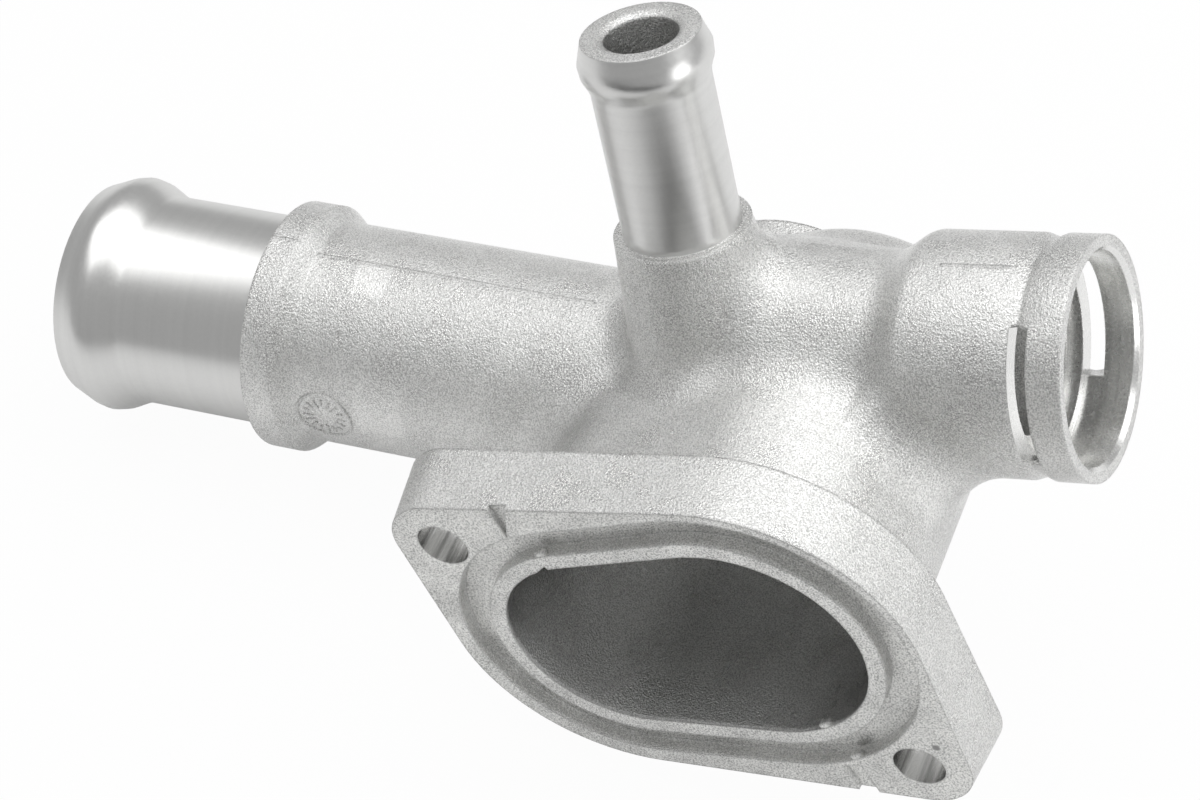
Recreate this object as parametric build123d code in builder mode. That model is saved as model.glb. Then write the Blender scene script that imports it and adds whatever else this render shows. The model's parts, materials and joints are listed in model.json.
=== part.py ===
import os
from math import cos, radians, sin

from build123d import *

os.makedirs("parts", exist_ok=True)

# Coolant hose flange, one die-cast aluminium piece, all sizes in millimetres.
# The sealing face lies in the plane Y = 0 and looks towards -Y, Z is up.
# The origin is midway between the two bolt holes, on the sealing face.

# Flange plate, its outline wraps two ears and two big arcs and grows towards the back
PLATE_THICKNESS = 9.6
BOLT_HALF_SPACING = 34.4
BOLT_LINE_ANGLE = -14.0
BOLT_HOLE_RADIUS = 3.6
EAR_RADIUS = 7.3
EAR_BACK_GROWTH = 1.15
ARC_BACK_GROWTH = 0.5
LOWER_ARC_CENTRE = (-8.2, -4.5)
LOWER_ARC_RADIUS = 24.8
UPPER_ARC_CENTRE = (6.2, 7.7)
UPPER_ARC_RADIUS = 25.6

# Port, sealing lip and seal groove, all built on the same two arc centres
PORT_LOWER_RADIUS = 15.6
PORT_UPPER_RADIUS = 17.5
PORT_DEPTH = 57.5
PORT_END_CHAMFER = 5.0
LIP_WIDTH = 2.45
GROOVE_WIDTH = 4.3
GROOVE_DEPTH = 2.2

# Marks of the die parting on the sealing face, as corner points along the bolt line
FACE_MARKS = (
    ((-31.6, 12.9), (-29.0, 14.6), (-26.9, 8.0)),
    ((25.9, -7.8), (27.9, -6.0), (32.4, -10.4), (30.4, -12.4)),
    ((-21.8, 2.8), (-21.0, 5.5), (-20.1, 5.1)),
)
FACE_MARK_DEPTH = 0.8

# Duct behind the plate, with a round pad on its rear wall
DUCT_WALL = 3.0
DUCT_LENGTH = 62.0
DUCT_END_ROUND = 9.2
REAR_PAD_CENTRE = (-4.3, -1.1)
REAR_PAD_RADIUS = 16.1
REAR_PAD_END = 64.0
REAR_PAD_DEPTH = 10.0

# Blends where the duct, neck, tube and boss meet
NECK_BLEND = 8.0
TUBE_BLEND = 8.0
BOSS_BLEND = 6.0

# Pipe axes lie in the parting plane, this far behind the sealing face
AXIS_DEPTH = 42.2

# Large hose spigot on the left
SPIGOT_AXIS_HEIGHT = 1.65
SPIGOT_ANGLE = 8.95
TUBE_RADIUS = 16.0
COLLAR_RADIUS = 18.1
COLLAR_FRONT = 75.2
COLLAR_LENGTH = 4.3
COLLAR_RAMP = 2.5
COLLAR_OVERLAP = 9.0
SPIGOT_RADIUS = 15.4
SPIGOT_BORE_RADIUS = 12.6
SPIGOT_BORE_START = 5.0
SPIGOT_MOUTH_CHAMFER = 0.8
SPIGOT_END = 106.9

# Bead and mouth of the large spigot, each corner as a radius and a length from the tube's start
SPIGOT_BEAD = ((15.4, 96.6), (15.8, 98.0), (17.1, 100.6), (17.45, 102.2), (17.2, 103.5), (15.8, 106.9))

# Sensor socket on the right, reached through the neck
SOCKET_AXIS_HEIGHT = 16.6
SOCKET_ANGLE = 19.07
SOCKET_RADIUS = 16.15
SOCKET_START = 21.6
SOCKET_END = 44.3
SOCKET_SHOULDER_ROUND = 3.0
NECK_RADIUS = 14.8
NECK_END = 17.2
NECK_END_RADIUS = 13.2
NECK_END_ROUND = 5.0
NECK_BORE_RADIUS = 10.4
NECK_BORE_START = 2.0
SOCKET_BORE_RADIUS = 14.0
SOCKET_BORE_DEPTH = 7.2
SOCKET_MOUTH_CHAMFER = 0.6
SEAT_BORE_RADIUS = 12.8
SEAT_BORE_DEPTH = 9.6

# Clip slots cut across the socket and the shallow groove that joins them
CLIP_SLOT_ANGLE = -23.0
FRONT_SLOT_HALF_WIDTH = 9.27
BACK_SLOT_WIDTH = 16.9
CLIP_SLOT_LENGTH = 2.6
CLIP_SLOT_REACH = 1.5 * SOCKET_RADIUS
CLIP_GROOVE_DEPTH = 0.7
CLIP_GROOVE_FROM_END = 6.3
CLIP_GROOVE_INNER_SIDE = 2.0
CLIP_GROOVE_OUTER_SIDE = 1.6

# Small hose spigot on top
SMALL_ORIGIN = (-5.1, 34.8, 0.0)
SMALL_DIRECTION = (-0.294, 0.2146, 0.9314)
SMALL_X_DIRECTION = (1, 0, 0.3157)
SMALL_RADIUS = 8.0
SMALL_BORE_RADIUS = 5.0
SMALL_BORE_START = 8.0
SMALL_MOUTH_RADIUS = 5.9
SMALL_MOUTH_DEPTH = 0.5
SMALL_OVERLAP = 4.0
BOSS_RADIUS = 9.35
BOSS_ROOT_RADIUS = 11.3
BOSS_ROOT = 5.0
SMALL_SHOULDER = 36.3
SMALL_END = 65.2

# Bead and mouth of the small spigot, each corner as a radius and a length
SMALL_BEAD = ((8.0, 58.2), (8.2, 59.1), (8.85, 60.7), (8.95, 62.2), (8.0, 65.2))

# Sketch plane on the sealing face, its x along the bolt line
bolt_line = (cos(radians(BOLT_LINE_ANGLE)), 0, sin(radians(BOLT_LINE_ANGLE)))
face = Plane(origin=(0, 0, 0), x_dir=bolt_line, z_dir=(0, -1, 0))

# Axis frames, z out along each pipe
spigot = Plane(
    origin=(0, AXIS_DEPTH, SPIGOT_AXIS_HEIGHT),
    x_dir=(0, -1, 0),
    z_dir=(-cos(radians(SPIGOT_ANGLE)), 0, -sin(radians(SPIGOT_ANGLE))),
)
socket = Plane(
    origin=(0, AXIS_DEPTH, SOCKET_AXIS_HEIGHT),
    x_dir=(0, -1, 0),
    z_dir=(cos(radians(SOCKET_ANGLE)), 0, sin(radians(SOCKET_ANGLE))),
)
small = Plane(origin=SMALL_ORIGIN, x_dir=SMALL_X_DIRECTION, z_dir=SMALL_DIRECTION)


def half_section(frame):
    """Plane holding a pipe's section: x is the radius, y the length along the pipe."""
    return Plane(origin=frame.origin, x_dir=frame.x_dir, z_dir=frame.x_dir.cross(frame.z_dir))


def port_hull(offset):
    """Convex outline round the two port arcs, grown by an offset, in sketch coordinates."""
    with BuildSketch() as outline:
        with Locations(LOWER_ARC_CENTRE):
            Circle(PORT_LOWER_RADIUS + offset)
        with Locations(UPPER_ARC_CENTRE):
            Circle(PORT_UPPER_RADIUS + offset)
        make_hull()
    return outline.sketch


def plate_outline(ear_growth, arc_growth):
    """Convex outline round the two ears and the two big arcs, in sketch coordinates."""
    with BuildSketch() as outline:
        with Locations((-BOLT_HALF_SPACING, 0), (BOLT_HALF_SPACING, 0)):
            Circle(EAR_RADIUS + ear_growth)
        with Locations(LOWER_ARC_CENTRE):
            Circle(LOWER_ARC_RADIUS + arc_growth)
        with Locations(UPPER_ARC_CENTRE):
            Circle(UPPER_ARC_RADIUS + arc_growth)
        make_hull()
    return outline.sketch


# Core that leaves the port passage, closed and chamfered at its far end
with BuildPart() as port_core:
    with BuildSketch(face):
        add(port_hull(0))
    extrude(amount=-PORT_DEPTH)
    chamfer(port_core.faces().sort_by(Axis.Y)[-1].edges(), PORT_END_CHAMFER)

with BuildPart() as flange_casting:
    # Duct from the plate back to its rounded rear wall
    with BuildSketch(face):
        add(port_hull(DUCT_WALL))
    extrude(amount=-DUCT_LENGTH)
    fillet(flange_casting.faces().sort_by(Axis.Y)[-1].edges(), DUCT_END_ROUND)

    # Neck and socket barrel in one turned shape, blended into the duct
    with BuildSketch(half_section(socket)):
        with BuildLine():
            FilletPolyline(
                (NECK_RADIUS, 0),
                (NECK_END_RADIUS, NECK_END),
                (SOCKET_RADIUS, SOCKET_START),
                (SOCKET_RADIUS, SOCKET_END),
                radius=(NECK_END_ROUND, SOCKET_SHOULDER_ROUND),
            )
            RadiusArc((NECK_RADIUS, 0), (0, -NECK_RADIUS), NECK_RADIUS)
            Polyline((0, -NECK_RADIUS), (0, SOCKET_END), (SOCKET_RADIUS, SOCKET_END))
        make_face()
    revolve(axis=Axis(socket.origin, socket.z_dir))
    fillet(flange_casting.edges(Select.NEW).filter_by(GeomType.BSPLINE), NECK_BLEND)

    # Cast tube of the large spigot, blended into the duct
    with BuildSketch(half_section(spigot)):
        with Locations((TUBE_RADIUS / 2, COLLAR_FRONT / 2)):
            Rectangle(TUBE_RADIUS, COLLAR_FRONT)
    revolve(axis=Axis(spigot.origin, spigot.z_dir))
    fillet(flange_casting.edges(Select.NEW).filter_by(GeomType.BSPLINE), TUBE_BLEND)

    # Boss of the small spigot, blended into everything it lands on
    with BuildSketch(half_section(small)):
        with BuildLine():
            Polyline(
                (0, BOSS_ROOT),
                (BOSS_ROOT_RADIUS, BOSS_ROOT),
                (BOSS_RADIUS, SMALL_SHOULDER),
                (0, SMALL_SHOULDER),
                (0, BOSS_ROOT),
            )
        make_face()
    revolve(axis=Axis(small.origin, small.z_dir))
    fillet(flange_casting.edges(Select.NEW).filter_by(GeomType.BSPLINE), BOSS_BLEND)

    # Round pad on the rear wall
    with BuildSketch(face.offset(-REAR_PAD_END)):
        with Locations(REAR_PAD_CENTRE):
            Circle(REAR_PAD_RADIUS)
    extrude(amount=REAR_PAD_DEPTH)

    # Collar, machined spigot and hose bead
    with BuildSketch(half_section(spigot)):
        with BuildLine():
            collar_back = COLLAR_FRONT - COLLAR_LENGTH
            collar_root = COLLAR_FRONT - COLLAR_OVERLAP
            Polyline(
                (0, collar_root),
                (TUBE_RADIUS, collar_root),
                (TUBE_RADIUS, collar_back - COLLAR_RAMP),
                (COLLAR_RADIUS, collar_back),
                (COLLAR_RADIUS, COLLAR_FRONT),
                (SPIGOT_RADIUS, COLLAR_FRONT),
                *SPIGOT_BEAD,
                (0, SPIGOT_END),
                (0, collar_root),
            )
        make_face()
    revolve(axis=Axis(spigot.origin, spigot.z_dir))

    # Small machined spigot and its hose bead
    with BuildSketch(half_section(small)):
        with BuildLine():
            small_root = SMALL_SHOULDER - SMALL_OVERLAP
            Polyline((0, small_root), (SMALL_RADIUS, small_root), *SMALL_BEAD, (0, SMALL_END), (0, small_root))
        make_face()
    revolve(axis=Axis(small.origin, small.z_dir))

    # Flange plate, its sides drafted outwards from the sealing face
    with BuildSketch(face):
        add(plate_outline(0, 0))
    with BuildSketch(face.offset(-PLATE_THICKNESS)):
        add(plate_outline(EAR_BACK_GROWTH, ARC_BACK_GROWTH))
    loft(ruled=True)

    # Port passage
    add(port_core.part, mode=Mode.SUBTRACT)

    # Bore of the large spigot
    with BuildSketch(half_section(spigot)):
        with BuildLine():
            Polyline(
                (0, SPIGOT_BORE_START),
                (SPIGOT_BORE_RADIUS, SPIGOT_BORE_START),
                (SPIGOT_BORE_RADIUS, SPIGOT_END - SPIGOT_MOUTH_CHAMFER),
                (SPIGOT_BORE_RADIUS + SPIGOT_MOUTH_CHAMFER, SPIGOT_END),
                (0, SPIGOT_END),
                (0, SPIGOT_BORE_START),
            )
        make_face()
    revolve(axis=Axis(spigot.origin, spigot.z_dir), mode=Mode.SUBTRACT)

    # Bore of the small spigot, its mouth eased by a shallow taper
    with BuildSketch(half_section(small)):
        with BuildLine():
            Polyline(
                (0, SMALL_END),
                (0, SMALL_BORE_START),
                (SMALL_BORE_RADIUS, SMALL_BORE_START),
                (SMALL_BORE_RADIUS, SMALL_END - SMALL_MOUTH_DEPTH),
                (SMALL_MOUTH_RADIUS, SMALL_END),
                (0, SMALL_END),
            )
        make_face()
    revolve(axis=Axis(small.origin, small.z_dir), mode=Mode.SUBTRACT)

    # Socket bore, seat bore and the cored passage through the neck
    with BuildSketch(half_section(socket)):
        with BuildLine():
            Polyline(
                (0, SOCKET_END),
                (0, NECK_BORE_START),
                (NECK_BORE_RADIUS, NECK_BORE_START),
                (NECK_BORE_RADIUS, SOCKET_END - SEAT_BORE_DEPTH),
                (SEAT_BORE_RADIUS, SOCKET_END - SEAT_BORE_DEPTH),
                (SEAT_BORE_RADIUS, SOCKET_END - SOCKET_BORE_DEPTH),
                (SOCKET_BORE_RADIUS, SOCKET_END - SOCKET_BORE_DEPTH),
                (SOCKET_BORE_RADIUS, SOCKET_END - SOCKET_MOUTH_CHAMFER),
                (SOCKET_BORE_RADIUS + SOCKET_MOUTH_CHAMFER, SOCKET_END),
                (0, SOCKET_END),
            )
        make_face()
    revolve(axis=Axis(socket.origin, socket.z_dir), mode=Mode.SUBTRACT)

    # Two clip slots, one through each side of the socket, the rear one shorter below
    with BuildSketch(socket.offset(SOCKET_END - SOCKET_BORE_DEPTH)):
        with Locations(Location((0, 0, 0), (0, 0, CLIP_SLOT_ANGLE))):
            Rectangle(CLIP_SLOT_REACH, 2 * FRONT_SLOT_HALF_WIDTH, align=(Align.MIN, Align.CENTER))
            with Locations((0, -FRONT_SLOT_HALF_WIDTH)):
                Rectangle(CLIP_SLOT_REACH, BACK_SLOT_WIDTH, align=(Align.MAX, Align.MIN))
    extrude(amount=CLIP_SLOT_LENGTH, mode=Mode.SUBTRACT)

    # Shallow groove that runs round the socket from slot to slot
    groove = SOCKET_END - CLIP_GROOVE_FROM_END
    with BuildSketch(half_section(socket)):
        with BuildLine():
            Polyline(
                (SOCKET_RADIUS, groove - CLIP_GROOVE_INNER_SIDE),
                (SOCKET_RADIUS - CLIP_GROOVE_DEPTH, groove),
                (SOCKET_RADIUS, groove + CLIP_GROOVE_OUTER_SIDE),
                close=True,
            )
        make_face()
    revolve(axis=Axis(socket.origin, socket.z_dir), mode=Mode.SUBTRACT)

    # Seal groove round the lip
    with BuildSketch(face):
        add(port_hull(LIP_WIDTH + GROOVE_WIDTH))
        add(port_hull(LIP_WIDTH), mode=Mode.SUBTRACT)
    extrude(amount=-GROOVE_DEPTH, mode=Mode.SUBTRACT)

    # Parting marks on the sealing face
    with BuildSketch(face):
        for mark in FACE_MARKS:
            with BuildLine():
                Polyline(*mark, close=True)
            make_face()
    extrude(amount=-FACE_MARK_DEPTH, mode=Mode.SUBTRACT)

    # Bolt holes
    with BuildSketch(face):
        with Locations((-BOLT_HALF_SPACING, 0), (BOLT_HALF_SPACING, 0)):
            Circle(BOLT_HOLE_RADIUS)
    extrude(amount=-PLATE_THICKNESS, mode=Mode.SUBTRACT)

flange_casting.part.label = "flange_casting"
export_step(flange_casting.part, "parts/flange_casting.step")
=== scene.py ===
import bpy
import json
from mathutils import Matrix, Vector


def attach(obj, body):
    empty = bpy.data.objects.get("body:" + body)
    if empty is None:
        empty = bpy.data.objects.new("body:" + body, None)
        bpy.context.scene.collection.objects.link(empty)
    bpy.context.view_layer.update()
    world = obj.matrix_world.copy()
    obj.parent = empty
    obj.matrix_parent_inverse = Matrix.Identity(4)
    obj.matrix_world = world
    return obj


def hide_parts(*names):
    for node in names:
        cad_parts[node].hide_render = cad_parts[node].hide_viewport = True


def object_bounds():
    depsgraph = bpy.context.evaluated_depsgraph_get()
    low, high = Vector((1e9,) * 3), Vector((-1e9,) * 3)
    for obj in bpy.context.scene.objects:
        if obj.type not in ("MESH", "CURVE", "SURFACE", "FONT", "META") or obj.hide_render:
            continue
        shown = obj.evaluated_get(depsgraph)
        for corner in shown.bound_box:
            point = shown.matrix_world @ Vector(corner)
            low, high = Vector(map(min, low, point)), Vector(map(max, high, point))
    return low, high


bl_info = {
    "name": "Coolant hose flange",
    "version": (1, 1, 0),
    "blender": (4, 5, 0),
    "location": "View3D > Sidebar > Hose flange",
    "description": "Finishes the cast coolant hose flange and sets it on a plain studio floor",
    "category": "Object",
}

import json
import math

import bmesh
import bpy
from mathutils import Matrix, Vector

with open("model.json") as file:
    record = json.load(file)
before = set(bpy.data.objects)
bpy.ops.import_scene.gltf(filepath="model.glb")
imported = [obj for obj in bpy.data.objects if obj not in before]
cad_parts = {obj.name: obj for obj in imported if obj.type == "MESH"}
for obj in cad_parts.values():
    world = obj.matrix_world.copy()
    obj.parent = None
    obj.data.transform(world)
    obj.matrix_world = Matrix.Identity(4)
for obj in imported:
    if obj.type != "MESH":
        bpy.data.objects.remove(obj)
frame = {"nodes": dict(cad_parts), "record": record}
CAD_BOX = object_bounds()
MOUNTS = {mount["name"]: mount for mount in frame["record"]["mounts"]}
CASTING = "flange_casting"
MM = 0.001


class PipeAxis:
    """The axis of a pipe, with lengths in millimetres from the middle of its mount."""

    def __init__(self, name):
        mount = MOUNTS[name]
        self.origin = Vector(mount["pos_m"])
        self.direction = Vector(mount["axis"]).normalized()
        self.half_length = mount["dims"]["length_mm"] / 2
        self.radius = mount["dims"]["r_mm"]
        forward = Vector((0, -1, 0))
        self.front = (forward - self.direction * forward.dot(self.direction)).normalized()
        self.side = self.direction.cross(self.front)

    def along(self, point):
        return (point - self.origin).dot(self.direction) / MM

    def away(self, point):
        return (point - self.origin).cross(self.direction).length / MM

    def outward(self, point, normal):
        """How squarely a normal points away from the axis, from -1 to 1."""
        foot = self.origin + self.direction * self.along(point) * MM
        return (point - foot).normalized().dot(normal)

    def surface(self, length, angle, radius):
        """The point at a length, a turn from the front and a distance from the axis."""
        outward = self.front * math.cos(angle) + self.side * math.sin(angle)
        return self.origin + (self.direction * length + outward * radius) * MM


SPIGOT = PipeAxis("large_spigot")
SMALL = PipeAxis("small_spigot")
SENSOR = PipeAxis("sensor_bore")
SEAT = PipeAxis("sensor_seat")

BOLT_RADIUS = MOUNTS["bolt_holes"]["dims"]["hole_r_mm"]
BOLT_REACH = MOUNTS["bolt_holes"]["dims"]["pcd_mm"] / 2

# Directions on the sealing face, along the line of the bolt holes and square to it
BOLT_LINE = Vector((0.970, 0, -0.242)).normalized()
BOLT_CROSS = Vector((0.242, 0, 0.970)).normalized()

# The port's outline wraps two circles, whose middles are given along and across the bolt line
PORT_LEFT, PORT_LEFT_RADIUS = (-8.2, -4.5), 15.6
PORT_RIGHT, PORT_RIGHT_RADIUS = (6.2, 7.7), 17.5

# How far behind the sealing face its finish, the bolt holes and the port's wall reach, in millimetres
FACE_DEPTH = 3
HOLE_DEPTH = 14
PORT_DEPTH = 52

# Cosines: a facet over the first faces a direction squarely, and one under the second stands sideways to it
SQUARELY = 0.9
SIDEWAYS = 0.5

# Slack in millimetres past a pipe's end, off a drilled or turned wall, and off the stepped wall of the socket
END_SLACK = 0.05
WALL_SLACK = 0.1
STEP_SLACK = 0.8

# A small pit in the sealing face beside the right bolt hole, painted as a dark spot of shade, in millimetres
PIT_PLACE = (35.2, 0.0, -3.0)

# Patches of the tube that are worn smooth: lengths along the spigot's axis in millimetres, turns in degrees
TOP_PATCH = ((-29.6, -24.9), (72, 88))
FRONT_PATCH = ((-34.3, -27.6), (-4, 31))

# Spans of a noise, which lies around 0.5: one that holds nearly all of it, and one that holds most
WIDE = (0.3, 0.7)
MIDDLE = (0.35, 0.65)

# The cast skin: its grit's size and its grains' height as shares of the other, the shade of its pits,
# and how much lower and brighter it is where worn
GRIT_SIZE = 0.58
GRAIN_HEIGHT = 0.45
PIT_SHADE = 0.5
WORN_LOWER = 0.2
WORN_BRIGHTER = 0.1

# The sealing face: how much wider its edges are rounded and how much deeper it is marked than the turned
# parts, the shade of its specks, and the colour between them
FACE_EDGE = 2.2
FACE_MARKS = 20
SPECK_SHADE = 0.4
FACE_COLOUR = (1.0, 1.0, 0.98, 1.0)

# The bolt holes: the shade of the scores in their walls, and the colour between them
SCORE_SHADE = 0.6
HOLE_COLOUR = (0.95, 0.95, 0.94, 1.0)


class Value:
    """One output of a shader node. Operators on it add Math nodes to its tree."""

    def __init__(self, finish, socket):
        self.finish = finish
        self.socket = socket

    def math(self, operation, *values):
        inputs = dict(enumerate(values))
        return self.finish.add("ShaderNodeMath", {"operation": operation}, inputs)

    def __add__(self, other):
        return self.math("ADD", self, other)

    def __radd__(self, other):
        return self.math("ADD", other, self)

    def __sub__(self, other):
        return self.math("SUBTRACT", self, other)

    def __rsub__(self, other):
        return self.math("SUBTRACT", other, self)

    def __mul__(self, other):
        return self.math("MULTIPLY", self, other)

    def __rmul__(self, other):
        return self.math("MULTIPLY", other, self)


class Finish:
    """A material whose nodes are added one by one."""

    def __init__(self, name):
        self.material = bpy.data.materials.new(name)
        self.material.use_nodes = True
        self.tree = self.material.node_tree
        self.tree.nodes.clear()

    def add(self, kind, settings=None, inputs=None, output=0):
        """Adds a node, sets it up, fills its sockets with values or links, and returns one output."""
        node = self.tree.nodes.new(kind)
        for setting, value in (settings or {}).items():
            setattr(node, setting, value)
        for socket, value in (inputs or {}).items():
            if isinstance(value, Value):
                self.tree.links.new(value.socket, node.inputs[socket])
            else:
                node.inputs[socket].default_value = value
        return Value(self, node.outputs[output]) if len(node.outputs) else None

    def vector(self, operation, inputs, output=0):
        return self.add("ShaderNodeVectorMath", {"operation": operation}, inputs, output)

    def place(self):
        """The point on the object, in millimetres."""
        point = self.add("ShaderNodeTexCoord", output="Object")
        return self.vector("SCALE", {0: point, "Scale": 1 / MM})

    def along(self, place, axis):
        """Millimetres along a pipe's axis."""
        offset = self.vector("SUBTRACT", {0: place, 1: axis.origin / MM})
        return self.vector("DOT_PRODUCT", {0: offset, 1: axis.direction}, output="Value")

    def turn(self, place, axis):
        """Degrees round a pipe's axis, from its front towards its side."""
        offset = self.vector("SUBTRACT", {0: place, 1: axis.origin / MM})
        ahead = self.vector("DOT_PRODUCT", {0: offset, 1: axis.front}, output="Value")
        across = self.vector("DOT_PRODUCT", {0: offset, 1: axis.side}, output="Value")
        angle = self.add("ShaderNodeMath", {"operation": "ARCTAN2"}, {0: across, 1: ahead})
        return angle * math.degrees(1)

    def askew(self, place):
        """The place turned askew, so that no flat face lies along the grid of a noise."""
        inputs = {"Vector": place, "Rotation": (0.7, 0.4, 1.1)}
        return self.add("ShaderNodeVectorRotate", {"rotation_type": "EULER_XYZ"}, inputs)

    def noise(self, place, size, detail=2.0, roughness=0.5):
        """Cloudy noise around 0.5, whose blotches are about a size in millimetres wide."""
        inputs = {"Vector": self.askew(place), "Scale": 1 / size, "Detail": detail, "Roughness": roughness}
        return self.add("ShaderNodeTexNoise", {}, inputs)

    def pebbles(self, place, size):
        """Round grains about a size in millimetres wide, low in their middles."""
        return self.add("ShaderNodeTexVoronoi", {}, {"Vector": self.askew(place), "Scale": 1 / size})

    def rings(self, length, size, detail=2.0):
        """Noise that changes only with a length, as turning marks do."""
        inputs = {"W": length, "Scale": 1 / size, "Detail": detail}
        return self.add("ShaderNodeTexNoise", {"noise_dimensions": "1D"}, inputs)

    def spread(self, value, span, onto=(0.0, 1.0)):
        """Stretches a span of a value onto another span, and holds what lies outside at its ends."""
        inputs = {"Value": value}
        inputs["From Min"], inputs["From Max"] = span
        inputs["To Min"], inputs["To Max"] = onto
        return self.add("ShaderNodeMapRange", {}, inputs)

    def blend(self, factor, first, second):
        return self.add("ShaderNodeMix", {"data_type": "RGBA"}, {0: factor, 6: first, 7: second}, output=2)

    def soft_edges(self, radius_mm):
        """A normal that rounds the edges by a radius."""
        return self.add("ShaderNodeBevel", {"samples": 4}, {"Radius": radius_mm * MM})

    def lean(self, softened):
        """How far a softened normal leans from the facet's own: 0 on flats, up to about 0.3 at edges."""
        own = self.add("ShaderNodeNewGeometry", output="Normal")
        return 1 - self.vector("DOT_PRODUCT", {0: softened, 1: own}, output="Value")

    def bump(self, height, depth_mm, normal):
        inputs = {"Strength": 1.0, "Distance": depth_mm * MM, "Height": height, "Normal": normal}
        return self.add("ShaderNodeBump", {}, inputs)

    def metal(self, colour, roughness, normal):
        inputs = {"Base Color": colour, "Roughness": roughness, "Metallic": 1.0, "Normal": normal}
        return self.show(self.add("ShaderNodeBsdfPrincipled", {}, inputs))

    def show(self, shader):
        self.add("ShaderNodeOutputMaterial", {}, {"Surface": shader})
        return self.material


def shaded(colour, share):
    """A colour darkened to a share of itself."""
    return [channel * share for channel in colour[:3]] + [1.0]


class SkinSettings(bpy.types.PropertyGroup):
    """Finish of the rough cast skin."""

    colour: bpy.props.FloatVectorProperty(
        name="Skin colour",
        description="Colour of the blasted aluminium skin",
        subtype="COLOR",
        size=4,
        default=(1.0, 1.0, 0.985, 1.0),
    )
    grain: bpy.props.FloatProperty(
        name="Grain size",
        description="Width of one blasted pit, in millimetres",
        default=0.36,
        min=0.05,
    )
    depth: bpy.props.FloatProperty(
        name="Grain depth",
        description="Depth of the blasted pits, in millimetres",
        default=0.13,
    )
    roughness: bpy.props.FloatProperty(
        name="Skin roughness",
        description="Roughness of the skin between its pits",
        default=0.28,
    )
    edge: bpy.props.FloatProperty(
        name="Edge round",
        description="Radius of the cast edges, in millimetres",
        default=0.7,
    )


class TurnedSettings(bpy.types.PropertyGroup):
    """Finish of the machined surfaces."""

    colour: bpy.props.FloatVectorProperty(
        name="Machined colour",
        description="Colour of bare machined aluminium",
        subtype="COLOR",
        size=4,
        default=(0.76, 0.76, 0.75, 1.0),
    )
    roughness: bpy.props.FloatProperty(
        name="Machined roughness",
        description="Roughness of the turned surfaces",
        default=0.32,
    )
    mark_depth: bpy.props.FloatProperty(
        name="Mark depth",
        description="Depth of the turning marks, in millimetres",
        default=0.003,
    )
    edge: bpy.props.FloatProperty(
        name="Edge break",
        description="Radius of the machined edges, in millimetres",
        default=0.25,
    )


class PartingSettings(bpy.types.PropertyGroup):
    """Traces that the die left on the casting."""

    ridge_width: bpy.props.FloatProperty(
        name="Ridge width",
        description="Width of the ridge where the die halves met, in millimetres",
        default=1.0,
    )
    ridge_height: bpy.props.FloatProperty(
        name="Ridge height",
        description="Height of that ridge over the skin, in millimetres",
        default=0.05,
    )
    stamp_radius: bpy.props.FloatProperty(
        name="Stamp radius",
        description="Radius of the bare round stamp on the tube, in millimetres",
        default=4.2,
    )


class StudioSettings(bpy.types.PropertyGroup):
    """Camera and room light."""

    camera_place: bpy.props.FloatVectorProperty(
        name="Camera place",
        description="Where the camera stands",
        subtype="TRANSLATION",
        unit="LENGTH",
        default=(0.07853, -0.23775, 0.36034),
    )
    azimuth: bpy.props.FloatProperty(
        name="Azimuth",
        description="Direction the camera looks from, turned from the front",
        subtype="ANGLE",
        default=math.radians(20.7),
    )
    elevation: bpy.props.FloatProperty(
        name="Elevation",
        description="Height of the camera above the horizon",
        subtype="ANGLE",
        default=math.radians(50.85),
    )
    lens: bpy.props.FloatProperty(
        name="Lens",
        description="Focal length of the camera, in millimetres",
        default=100.07,
    )
    ambient: bpy.props.FloatProperty(
        name="Ambient light",
        description="Brightness of the room around the table",
        default=0.42,
    )


def worn_patch(finish, length, turn, lengths, turns):
    """1 inside a patch of the tube, between two lengths and two turns, and 0 outside it."""

    def between(value, low, high, soft):
        entering = finish.spread(value, (low - soft, low))
        return entering * finish.spread(value, (high, high + soft), (1.0, 0.0))

    return between(length, *lengths, soft=0.5) * between(turn, *turns, soft=2.0)


def cast_skin(settings, name="cast_skin", share=1.0, edge=1.0):
    """The blasted skin: round grains with finer grit on them, slow changes of tone, and two worn patches.

    The share darkens the colour, and the edge multiplies the radius of the edges.
    """
    finish = Finish(name)
    place = finish.place()
    grains = finish.pebbles(place, settings.grain)
    grit = finish.noise(place, settings.grain * GRIT_SIZE, roughness=0.75)
    swell = finish.noise(place, size=7.0)
    length, turn = finish.along(place, SPIGOT), finish.turn(place, SPIGOT)
    worn = worn_patch(finish, length, turn, *TOP_PATCH) + worn_patch(finish, length, turn, *FRONT_PATCH)

    height = (grains * GRAIN_HEIGHT + grit) * (1 - worn * WORN_LOWER)
    normal = finish.bump(height, settings.depth, finish.soft_edges(settings.edge * edge))

    grit_tone = finish.spread(grit, (0.41, 0.57), onto=(0.0, 0.85))
    swell_tone = finish.spread(swell, MIDDLE, onto=(0.0, 0.15))
    light = shaded(settings.colour, share)
    tone = grit_tone + swell_tone + worn * WORN_BRIGHTER
    colour = finish.blend(tone, shaded(light, PIT_SHADE), light)

    polished, dull = settings.roughness - 0.03, settings.roughness + 0.04
    return finish.metal(colour, finish.spread(swell, WIDE, onto=(polished, dull)), normal)


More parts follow.
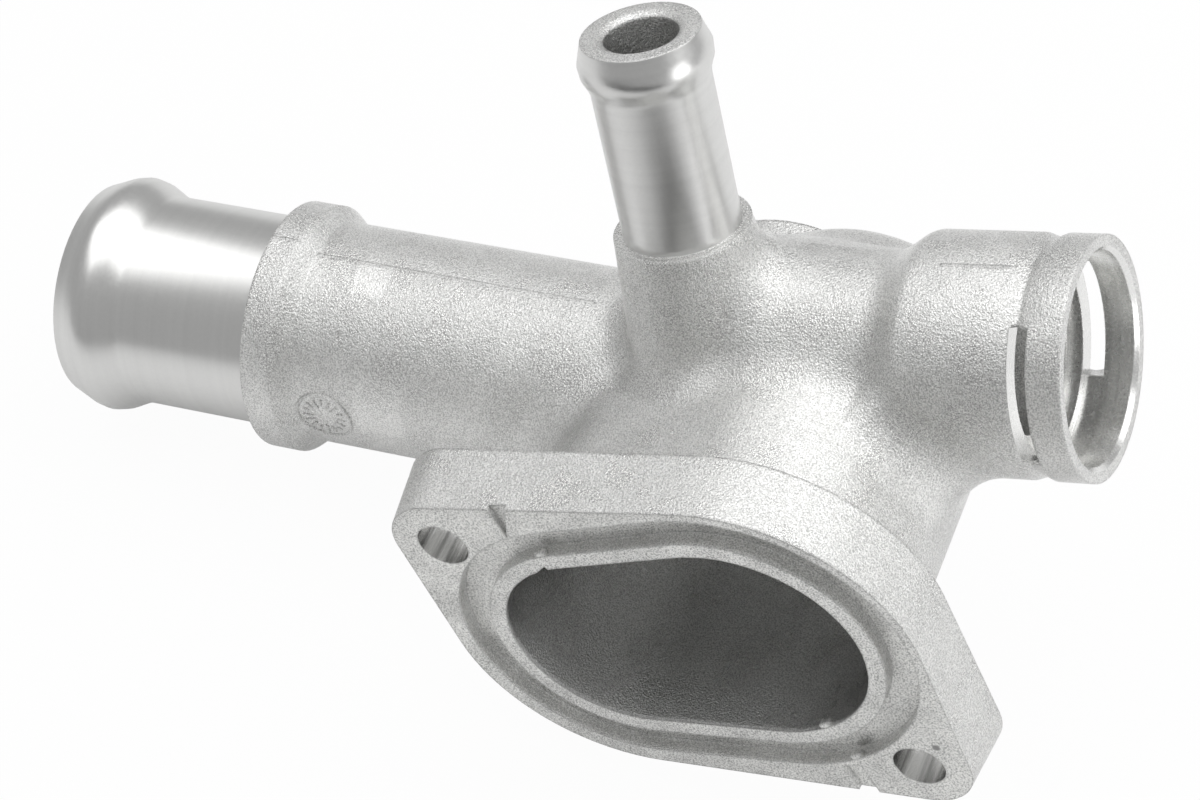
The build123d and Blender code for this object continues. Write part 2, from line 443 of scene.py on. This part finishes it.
def turned(settings, name, axis, ring, depth, contrast, roughness, share=1.0):
    """A turned surface: fine rings of a width and depth, broad bands of a contrast, and a few specks.

    The share darkens the colour, or brightens it where it is over 1.
    """
    finish = Finish(name)
    place = finish.place()
    length = finish.along(place, axis)
    fine = finish.rings(length, ring, detail=3.0)
    broad = finish.rings(length, size=1.4)
    speck = finish.noise(place, size=0.5, detail=3.0)
    normal = finish.bump(fine + speck * 0.8, depth, finish.soft_edges(settings.edge))

    broad_tone = finish.spread(broad, WIDE, onto=(0.0, 0.6))
    speck_tone = finish.spread(speck, WIDE, onto=(0.0, 0.4))
    light = shaded(settings.colour, share)
    colour = finish.blend(broad_tone + speck_tone, shaded(light, 1 - contrast), light)
    return finish.metal(colour, finish.spread(speck, WIDE, onto=(roughness - 0.02, roughness + 0.03)), normal)


def milled(settings):
    """The sealing face: flat, dull and pitted with small dark specks, with painted shade at one pit and along
    its rounded edges.
    """
    finish = Finish("milled_face")
    place = finish.place()
    dimples = finish.pebbles(place, size=0.4)
    speck = finish.noise(place, size=0.24, detail=3.0, roughness=0.7)
    wear = finish.noise(place, size=6.0, detail=3.0)
    softened = finish.soft_edges(settings.edge * FACE_EDGE)
    normal = finish.bump(speck + dimples * 0.5, settings.mark_depth * FACE_MARKS, softened)

    # Painted shade: a dark spot at the pit
    from_pit = finish.vector("DISTANCE", {0: place, 1: PIT_PLACE}, output="Value")
    pit_shade = finish.spread(from_pit, (0.4, 0.7))
    # Painted shade: the face darkens where its rounded edges lean away
    edge_shade = finish.spread(finish.lean(softened), (0.02, 0.25), onto=(1.0, 0.35))
    speck_tone = finish.spread(speck, (0.38, 0.55), onto=(0.0, 0.75))
    wear_tone = finish.spread(wear, MIDDLE, onto=(0.0, 0.25))
    tone = (speck_tone + wear_tone) * pit_shade * edge_shade
    colour = finish.blend(tone, shaded(settings.colour, SPECK_SHADE), FACE_COLOUR)

    polished, dull = settings.roughness + 0.1, settings.roughness + 0.2
    return finish.metal(colour, finish.spread(wear, WIDE, onto=(polished, dull)), normal)


def drilled(settings):
    """The walls of the bolt holes, scored from end to end."""
    finish = Finish("drilled_holes")
    stretched = finish.vector("MULTIPLY", {0: finish.place(), 1: (1.0, 0.04, 1.0)})
    scores = finish.noise(stretched, size=1.5)
    normal = finish.bump(scores, depth_mm=0.35, normal=finish.soft_edges(settings.edge))
    tone = finish.spread(scores, (0.4, 0.6))
    colour = finish.blend(tone, shaded(settings.colour, SCORE_SHADE), HOLE_COLOUR)
    return finish.metal(colour, settings.roughness - 0.05, normal)


# The casting's finishes, in the order in which its operator lists their materials
SKIN, LARGE_TURNED, SMALL_TURNED, FACE, SOCKET_TURNED, HOLES, CORE = range(7)


def in_port(spot):
    """Whether a place along and across the bolt line lies inside the port's outline."""
    left, right = Vector(PORT_LEFT), Vector(PORT_RIGHT)
    steps, slack = 12, 0.3
    for step in range(steps + 1):
        share = step / steps
        radius = PORT_LEFT_RADIUS + (PORT_RIGHT_RADIUS - PORT_LEFT_RADIUS) * share
        if (spot - left.lerp(right, share)).length < radius + slack:
            return True
    return False


def past_start(axis, centre):
    """Whether a facet lies beyond the inner end of a pipe's mount."""
    return axis.along(centre) > -axis.half_length - END_SLACK


def finish_index(centre, normal):
    """Which of the casting's finishes a facet takes."""
    if past_start(SPIGOT, centre) and SPIGOT.outward(centre, normal) > -SIDEWAYS:
        return LARGE_TURNED
    on_small = past_start(SMALL, centre) and SMALL.away(centre) > SMALL.radius - WALL_SLACK
    if on_small and SMALL.direction.dot(normal) < SQUARELY:
        return SMALL_TURNED
    if centre.y < FACE_DEPTH * MM and normal.y < -SQUARELY:
        return FACE
    spot = Vector((centre.dot(BOLT_LINE), centre.dot(BOLT_CROSS))) / MM
    from_hole = math.hypot(abs(spot.x) - BOLT_REACH, spot.y)
    if centre.y < HOLE_DEPTH * MM and abs(normal.y) < SIDEWAYS and from_hole < BOLT_RADIUS + WALL_SLACK:
        return HOLES
    if centre.y < PORT_DEPTH * MM and normal.y < SIDEWAYS and in_port(spot):
        return CORE
    if SENSOR.away(centre) < SENSOR.radius + STEP_SLACK and past_start(SEAT, centre):
        return SOCKET_TURNED
    return SKIN


def add_piece(context, name, mesh, *materials):
    """Makes a mesh piece that rides on the part and takes the casting's finish."""
    data = bpy.data.meshes.new(name)
    mesh.to_mesh(data)
    mesh.free()
    for material in materials:
        data.materials.append(material)
    piece = bpy.data.objects.new(name, data)
    context.scene.collection.objects.link(piece)
    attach(piece, "root")
    return piece


def sweep(mesh, stations, closed):
    """Joins rings of points into a solid, closed on itself or capped at both ends."""
    rings = [[mesh.verts.new(point) for point in station] for station in stations]
    pairs = list(zip(rings, rings[1:])) + ([(rings[-1], rings[0])] if closed else [])
    for first, second in pairs:
        for index in range(len(first)):
            ahead = (index + 1) % len(first)
            mesh.faces.new((first[index], first[ahead], second[ahead], second[index]))
    if not closed:
        mesh.faces.new(reversed(rings[0]))
        mesh.faces.new(rings[-1])
    bmesh.ops.recalc_face_normals(mesh, faces=mesh.faces)


class HOSEFLANGE_OT_casting(bpy.types.Operator):
    """Dress the casting in its cast skin and machined finishes"""

    bl_idname = "hose_flange.casting"
    bl_label = "Casting"

    def execute(self, context):
        mesh = bmesh.new()
        mesh.from_mesh(frame["nodes"][CASTING].data)
        bmesh.ops.remove_doubles(mesh, verts=mesh.verts, dist=1e-6)
        mesh.normal_update()
        for facet in mesh.faces:
            facet.material_index = finish_index(facet.calc_center_median(), facet.normal)
            facet.smooth = True
        finishes = self.finishes(context.scene.hose_flange_skin, context.scene.hose_flange_turned)
        casting = add_piece(context, "casting", mesh, *finishes)
        # The unwelded mesh brings normals of its own, which would override the sharp edges
        casting.data.attributes.remove(casting.data.attributes["custom_normal"])
        casting.data.set_sharp_from_angle(angle=math.radians(28))
        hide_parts(CASTING)
        return {"FINISHED"}

    def finishes(self, skin, machined):
        """The materials, in the order from SKIN to CORE."""
        mark, gloss = machined.mark_depth, machined.roughness
        return (
            cast_skin(skin),
            turned(machined, "turned_large_spigot", SPIGOT, ring=0.12, depth=mark, contrast=0.06,
                   roughness=gloss),
            turned(machined, "turned_small_spigot", SMALL, ring=0.12, depth=mark, contrast=0.08,
                   roughness=gloss - 0.02),
            milled(machined),
            # Painted light: the socket's turned colour is brightened over the machined colour, against the
            # shade inside its bore
            turned(machined, "turned_socket_painted_light", SENSOR, ring=0.35, depth=mark * 5, contrast=0.25,
                   roughness=gloss - 0.06, share=1.28),
            drilled(machined),
            # Painted shade: the skin inside the port is darkened to stand for the shade deep in the port
            cast_skin(skin, "core_skin_painted_shade", share=0.86, edge=1.8),
        )


class HOSEFLANGE_OT_parting_ridges(bpy.types.Operator):
    """Add the thin ridges where the two die halves met"""

    bl_idname = "hose_flange.parting_ridges"
    bl_label = "Parting ridges"

    # Name, pipe, then radius, first and last length in millimetres, and turn from the front in degrees
    RUNS = (
        ("tube_top", SPIGOT, 16.0, -17.4, -60.0, 90),
        ("tube_bottom", SPIGOT, 16.0, -17.4, -46.0, -90),
        ("collar_top", SPIGOT, 18.1, -14.9, -10.8, 90),
        ("socket_top", SENSOR, 16.15, -14.5, -4.6, -90),
        ("socket_rim_top", SENSOR, 16.15, -0.6, 3.2, -90),
    )

    # How far under the skin the ridge's sides start and end, in millimetres
    ROOT = -0.2
    FOOT = -0.05

    def execute(self, context):
        settings = context.scene.hose_flange_parting
        material = cast_skin(context.scene.hose_flange_skin)
        for name, axis, radius, first, last, turn in self.RUNS:
            mesh = bmesh.new()
            sweep(mesh, self.stations(settings, axis, radius, first, last, math.radians(turn)), closed=False)
            add_piece(context, "parting_" + name, mesh, material)
        return {"FINISHED"}

    def stations(self, settings, axis, radius, first, last, turn):
        half, top = settings.ridge_width / 2, settings.ridge_height
        left = ((-half, self.ROOT), (-half, self.FOOT), (-half / 3, top))
        right = ((half / 3, top), (half, self.FOOT), (half, self.ROOT))
        steps = 12
        for step in range(steps + 1):
            length = first + (last - first) * step / steps
            yield [axis.surface(length, turn + across / radius, radius + up) for across, up in left + right]


class HOSEFLANGE_OT_stamp(bpy.types.Operator):
    """Add the bare round stamp on the tube"""

    bl_idname = "hose_flange.stamp"
    bl_label = "Stamp"

    # Where the stamp's middle lies along the spigot's axis, and the radius of the tube there
    LENGTH = -22.05
    TUBE_RADIUS = 16.0

    # Sections of the raised rim and of a tick, each as places across it and up, in millimetres
    RIM = ((-0.3, -0.15), (-0.3, 0.0), (-0.1, 0.26), (0.1, 0.26), (0.25, 0.0), (0.25, -0.15))
    TICK = ((-0.22, -0.15), (-0.22, 0.0), (-0.1, 0.14), (0.1, 0.14), (0.22, 0.0), (0.22, -0.15))

    # Ticks start at these shares of the rim's radius by turns, and all run through the same two after that
    TICKS = 16
    TICK_STARTS = (0.42, 0.58, 0.5)
    TICK_ENDS = (0.68, 0.78)

    def execute(self, context):
        radius = context.scene.hose_flange_parting.stamp_radius
        material = cast_skin(context.scene.hose_flange_skin)
        rim = bmesh.new()
        sweep(rim, self.rim(radius), closed=True)
        add_piece(context, "stamp_rim", rim, material)
        for number in range(self.TICKS):
            mesh = bmesh.new()
            turn = 2 * math.pi * number / self.TICKS
            start = self.TICK_STARTS[number % len(self.TICK_STARTS)]
            sweep(mesh, self.tick(radius, turn, start), closed=False)
            add_piece(context, "stamp_tick_%d" % (number + 1), mesh, material)
        return {"FINISHED"}

    def on_tube(self, reach, turn, across, up):
        """A point of the stamp: a reach from its middle at a turn, moved across that reach and up."""
        along = reach * math.cos(turn) - across * math.sin(turn)
        round_tube = reach * math.sin(turn) + across * math.cos(turn)
        return SPIGOT.surface(self.LENGTH + along, round_tube / self.TUBE_RADIUS, self.TUBE_RADIUS + up)

    def rim(self, radius):
        steps = 48
        for step in range(steps):
            yield [self.on_tube(radius + out, 2 * math.pi * step / steps, 0, up) for out, up in self.RIM]

    def tick(self, radius, turn, start):
        for share in (start, *self.TICK_ENDS):
            yield [self.on_tube(radius * share, turn, across, up) for across, up in self.TICK]


class HOSEFLANGE_OT_flash(bpy.types.Operator):
    """Add the small lumps of flash left on the lip and the groove"""

    bl_idname = "hose_flange.flash"
    bl_label = "Flash"

    # End of the port that each lump sits by, distance from that end's middle in millimetres,
    # direction from there in degrees, and half sizes in millimetres
    LUMPS = (
        (PORT_RIGHT, 17.75, -30.5, (0.95, 0.7, 1.0)),
        (PORT_RIGHT, 24.3, -31.3, (0.7, 0.7, 0.9)),
        (PORT_LEFT, 17.9, 140.0, (0.8, 0.7, 0.9)),
    )

    # How far a lump's front lies behind the sealing face, in millimetres
    SET_BACK = 0.05

    def execute(self, context):
        material = milled(context.scene.hose_flange_turned)
        line_tilt = math.atan2(-BOLT_LINE.z, BOLT_LINE.x)
        for number, (middle, reach, degrees, halves) in enumerate(self.LUMPS):
            bearing = math.radians(degrees)
            along = middle[0] + reach * math.cos(bearing)
            across = middle[1] + reach * math.sin(bearing)
            back = Vector((0, (halves[1] + self.SET_BACK) * MM, 0))
            foot = (BOLT_LINE * along + BOLT_CROSS * across) * MM + back
            mesh = bmesh.new()
            bmesh.ops.create_cube(mesh, size=2.0)
            bmesh.ops.bevel(mesh, geom=mesh.edges[:], offset=0.45, segments=3, profile=0.5, affect="EDGES")
            spin = Matrix.Rotation(line_tilt - bearing, 4, "Y")
            shape = Matrix.Diagonal([half * MM for half in halves] + [1.0])
            bmesh.ops.transform(mesh, matrix=Matrix.Translation(foot) @ spin @ shape, verts=mesh.verts)
            for facet in mesh.faces:
                facet.smooth = True
            add_piece(context, "flash_%d" % (number + 1), mesh, material)
        return {"FINISHED"}


class HOSEFLANGE_OT_studio(bpy.types.Operator):
    """Set up the floor, the lamps and the camera"""

    bl_idname = "hose_flange.studio"
    bl_label = "Studio"

    # Name, direction from the object, width, depth and brightness of each soft box
    LAMPS = (
        ("overhead", (-0.15, 0.25, 0.95), 1.05, 0.9, 1.2),
        ("right_rear", (0.62, 0.42, 0.62), 0.44, 0.44, 1.4),
        ("right_front", (0.95, -0.15, 0.17), 0.4, 0.35, 1.9),
    )
    LAMP_DISTANCE = 0.8

    # Watts that a square metre of a soft box needs for a brightness of 1
    LAMP_WATTS = 4

    # How much of the floor is plain white to the camera, and in reflections
    WHITE_SEEN = 0.96
    WHITE_REFLECTED = 0.2

    # Gap between the object and the floor, so that the two don't touch
    FLOOR_GAP = 0.2 * MM

    def execute(self, context):
        settings = context.scene.hose_flange_studio
        self.add_floor()
        self.add_card()
        self.add_world(context, settings)
        self.add_lamps(context)
        self.add_camera(context, settings)
        context.scene.view_settings.view_transform = "Standard"
        return {"FINISHED"}

    def add_floor(self):
        bpy.ops.mesh.primitive_plane_add(size=6, location=(0, 0, CAD_BOX[0].z - self.FLOOR_GAP))
        floor = bpy.context.object
        floor.name = "floor"
        finish = Finish("pale_floor")
        paint = finish.add("ShaderNodeBsdfDiffuse", {}, {"Color": (0.88, 0.88, 0.88, 1.0)})
        white = finish.add("ShaderNodeEmission", {}, {"Color": (1.0, 1.0, 1.0, 1.0), "Strength": 1.0})
        camera_ray = finish.add("ShaderNodeLightPath", output="Is Camera Ray")
        glossy_ray = finish.add("ShaderNodeLightPath", output="Is Glossy Ray")
        share = camera_ray * self.WHITE_SEEN + glossy_ray * self.WHITE_REFLECTED
        mixed = finish.add("ShaderNodeMixShader", {}, {0: share, 1: paint, 2: white})
        floor.data.materials.append(finish.show(mixed))

    def add_card(self):
        """Adds a dark card on the floor in front of the object, out of the camera's sight."""
        bpy.ops.mesh.primitive_plane_add(size=1, location=(0.05, -0.66, CAD_BOX[0].z))
        card = bpy.context.object
        card.name = "dark_card"
        card.scale = (0.9, 1.0, 1.0)
        card.visible_camera = False
        finish = Finish("dark_card")
        paint = finish.add("ShaderNodeBsdfDiffuse", {}, {"Color": (0.03, 0.03, 0.03, 1.0)})
        card.data.materials.append(finish.show(paint))

    def add_world(self, context, settings):
        world = bpy.data.worlds.new("studio")
        world.use_nodes = True
        background = world.node_tree.nodes["Background"]
        background.inputs["Color"].default_value = (1.0, 1.0, 1.0, 1.0)
        background.inputs["Strength"].default_value = settings.ambient
        context.scene.world = world

    def add_lamps(self, context):
        for name, direction, width, depth, brightness in self.LAMPS:
            data = bpy.data.lights.new(name, "AREA")
            data.shape = "RECTANGLE"
            data.size = width
            data.size_y = depth
            data.energy = self.LAMP_WATTS * width * depth * brightness
            lamp = bpy.data.objects.new(name, data)
            lamp.location = Vector(direction).normalized() * self.LAMP_DISTANCE
            lamp.rotation_euler = (-lamp.location).to_track_quat("-Z", "Y").to_euler()
            lamp.visible_camera = False
            context.scene.collection.objects.link(lamp)

    def add_camera(self, context, settings):
        azimuth, elevation = settings.azimuth, settings.elevation
        level = math.cos(elevation)
        back = Vector((math.sin(azimuth) * level, -math.cos(azimuth) * level, math.sin(elevation)))
        right = Vector((math.cos(azimuth), math.sin(azimuth), 0))
        data = bpy.data.cameras.new("camera")
        data.lens = settings.lens
        data.sensor_width = 36
        data.clip_start = 0.01
        camera = bpy.data.objects.new("camera", data)
        turn = Matrix((right, back.cross(right), back)).transposed()
        camera.matrix_world = Matrix.Translation(Vector(settings.camera_place)) @ turn.to_4x4()
        context.scene.collection.objects.link(camera)
        context.scene.camera = camera


class HOSEFLANGE_PT_panel(bpy.types.Panel):
    """Lists the pieces and their settings"""

    bl_idname = "HOSEFLANGE_PT_panel"
    bl_label = "Hose flange"
    bl_space_type = "VIEW_3D"
    bl_region_type = "UI"
    bl_category = "Hose flange"

    def draw(self, context):
        for operator in OPERATORS:
            self.layout.operator(operator.bl_idname)
        for name in SETTINGS:
            settings = getattr(context.scene, name)
            for prop in settings.bl_rna.properties:
                if prop.identifier not in ("rna_type", "name"):
                    self.layout.prop(settings, prop.identifier)


OPERATORS = (
    HOSEFLANGE_OT_casting,
    HOSEFLANGE_OT_parting_ridges,
    HOSEFLANGE_OT_stamp,
    HOSEFLANGE_OT_flash,
    HOSEFLANGE_OT_studio,
)
SETTINGS = {
    "hose_flange_skin": SkinSettings,
    "hose_flange_turned": TurnedSettings,
    "hose_flange_parting": PartingSettings,
    "hose_flange_studio": StudioSettings,
}
CLASSES = (*SETTINGS.values(), *OPERATORS, HOSEFLANGE_PT_panel)


def register():
    for cls in CLASSES:
        bpy.utils.register_class(cls)
    for name, cls in SETTINGS.items():
        setattr(bpy.types.Scene, name, bpy.props.PointerProperty(type=cls))


def unregister():
    for name in SETTINGS:
        delattr(bpy.types.Scene, name)
    for cls in reversed(CLASSES):
        bpy.utils.unregister_class(cls)


def main():
    register()
    for operator in OPERATORS:
        name = operator.bl_idname.split(".")[1]
        getattr(bpy.ops.hose_flange, name)()


if __name__ == "__main__":
    main()
